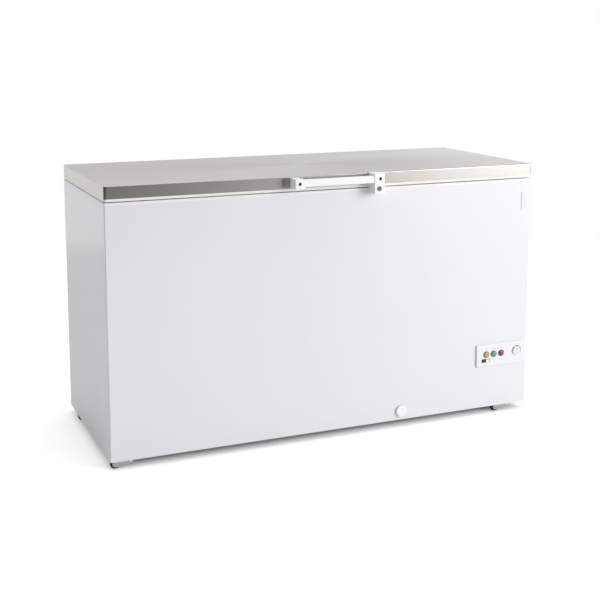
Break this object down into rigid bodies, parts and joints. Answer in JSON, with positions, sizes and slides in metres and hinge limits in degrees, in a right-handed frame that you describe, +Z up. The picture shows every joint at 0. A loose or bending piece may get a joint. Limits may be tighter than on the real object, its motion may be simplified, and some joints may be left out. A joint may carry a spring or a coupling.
{
  "type": "chest freezer",
  "caption": "Wide white chest freezer on small wheels, with a hinged stainless lid, locking bar handle, front control panel, drain and hanging wire baskets.",
  "frame": {"origin": "on the floor, under the middle of the whole object's box, from the handle's front to the rear spacers' back", "axes": "+X to the right seen from the front, +Y from front to rear, +Z up"},
  "size_m": [1.5, 0.677, 0.879],
  "materials": {
    "painted_steel": "gloss",
    "stainless_steel": "satin",
    "zinc_steel": "satin",
    "hinge_steel": "gloss",
    "spring_steel": "satin",
    "white_plastic": "satin",
    "chrome_lock": "polished",
    "embossed_aluminium": "satin",
    "coil_aluminium": "satin",
    "copper": "satin",
    "foam": "matte",
    "black_steel": "satin",
    "black_rubber": "matte",
    "black_plastic": "satin",
    "grey_plastic": "satin",
    "amber_lens": "gloss",
    "green_lens": "gloss",
    "red_lens": "gloss",
    "basket_wire": "gloss"
  },
  "bodies": {
    "cabinet": {"badge_plate": "grey_plastic", "base_bolts": "zinc_steel", "bottom_pan": "zinc_steel", "cabinet_foam": "foam", "caster_axles": "zinc_steel", "caster_brackets": "zinc_steel", "compartment_liner": "zinc_steel", "compressor": "black_steel", "compressor_grommets": "black_rubber", "compressor_terminal_cover": "black_plastic", "condenser_coil": "copper", "control_panel": "white_plastic", "cord_gland": "black_rubber", "drain_outlet": "white_plastic", "drain_tube": "white_plastic", "evaporator_coil": "coil_aluminium", "filter_drier": "copper", "hinge_bases": "hinge_steel", "hinge_pins": "zinc_steel", "hinge_springs": "spring_steel", "inner_tank": "embossed_aluminium", "lamp_bezels": "grey_plastic", "lamp_green": "green_lens", "lamp_red": "red_lens", "lamp_yellow": "amber_lens", "lock_keeper": "zinc_steel", "outer_wrap": "painted_steel", "rear_panel": "painted_steel", "rear_screws": "zinc_steel", "rear_spacers": "white_plastic", "rear_vent_cover": "painted_steel", "refrigerant_pipes": "copper", "side_vent_grille": "white_plastic", "switch_body": "black_plastic", "thermostat_body": "black_plastic", "thermostat_bulb": "copper", "top_collar": "white_plastic"},
    "lid": {"lid_skin": "stainless_steel", "lid_frame": "white_plastic", "lid_liner": "white_plastic", "lid_foam": "foam", "lid_gasket": "black_rubber", "hinge_leaves": "hinge_steel", "hinge_leaf_screws": "zinc_steel", "handle_bracket": "white_plastic", "handle_bar": "white_plastic", "lock_housing": "white_plastic", "handle_screws": "zinc_steel"},
    "lock_barrel": {"lock_cylinder": "chrome_lock"},
    "lock_tongue": {"lock_bolt": "zinc_steel"},
    "knob": {"thermostat_knob": "white_plastic"},
    "rocker": {"rocker_switch": "black_plastic"},
    "basket_l": {"basket_left": "basket_wire"},
    "basket_r": {"basket_right": "basket_wire"},
    "cap": {"drain_cap": "white_plastic"},
    "plug": {"tank_drain_plug": "white_plastic"},
    "caster_front_left": {"wheel_front_left": "black_rubber"},
    "caster_front_right": {"wheel_front_right": "black_rubber"},
    "caster_rear_left": {"wheel_rear_left": "black_rubber"},
    "caster_rear_right": {"wheel_rear_right": "black_rubber"}
  },
  "joints": [
    {"name": "lid_hinge", "type": "hinge", "parent": "cabinet", "child": "lid", "pos_m": [0, 0.3215, 0.8315], "axis": [-1, 0, 0], "range_deg": [0, 85]},
    {"name": "lock_turn", "type": "hinge", "parent": "lid", "child": "lock_barrel", "pos_m": [0.137, -0.3365, 0.83], "axis": [0, 1, 0], "range_deg": [0, 90]},
    {"name": "lock_slide", "type": "slide", "parent": "lid", "child": "lock_tongue", "axis": [0, 1, 0], "range_m": [0, 0.008]},
    {"name": "knob_turn", "type": "hinge", "parent": "cabinet", "child": "knob", "pos_m": [0.703, -0.299, 0.219], "axis": [0, 1, 0], "range_deg": [-135, 135]},
    {"name": "rocker_tilt", "type": "hinge", "parent": "cabinet", "child": "rocker", "pos_m": [0.5785, -0.2975, 0.1955], "axis": [0, 0, 1], "range_deg": [0, 16]},
    {"name": "basket_left_slide", "type": "slide", "parent": "cabinet", "child": "basket_l", "axis": [1, 0, 0], "range_m": [0, 0.28]},
    {"name": "basket_right_slide", "type": "slide", "parent": "cabinet", "child": "basket_r", "axis": [-1, 0, 0], "range_m": [0, 0.28]},
    {"name": "drain_cap_pull", "type": "slide", "parent": "cabinet", "child": "cap", "axis": [0, -1, 0], "range_m": [0, 0.03]},
    {"name": "drain_plug_lift", "type": "slide", "parent": "cabinet", "child": "plug", "axis": [0, 0, 1], "range_m": [0, 0.05]},
    {"name": "front_left_roll", "type": "hinge", "parent": "cabinet", "child": "caster_front_left", "pos_m": [-0.732, -0.2705, 0.015], "axis": [0, 1, 0], "continuous": true},
    {"name": "front_right_roll", "type": "hinge", "parent": "cabinet", "child": "caster_front_right", "pos_m": [0.635, -0.2705, 0.015], "axis": [0, 1, 0], "continuous": true},
    {"name": "rear_left_roll", "type": "hinge", "parent": "cabinet", "child": "caster_rear_left", "pos_m": [-0.732, 0.1985, 0.015], "axis": [0, 1, 0], "continuous": true},
    {"name": "rear_right_roll", "type": "hinge", "parent": "cabinet", "child": "caster_rear_right", "pos_m": [0.635, 0.1985, 0.015], "axis": [0, 1, 0], "continuous": true}
  ],
  "couplings": [
    {"joint": "lock_turn", "follows": "lock_slide", "rad_per_m": 196.35}
  ]
}
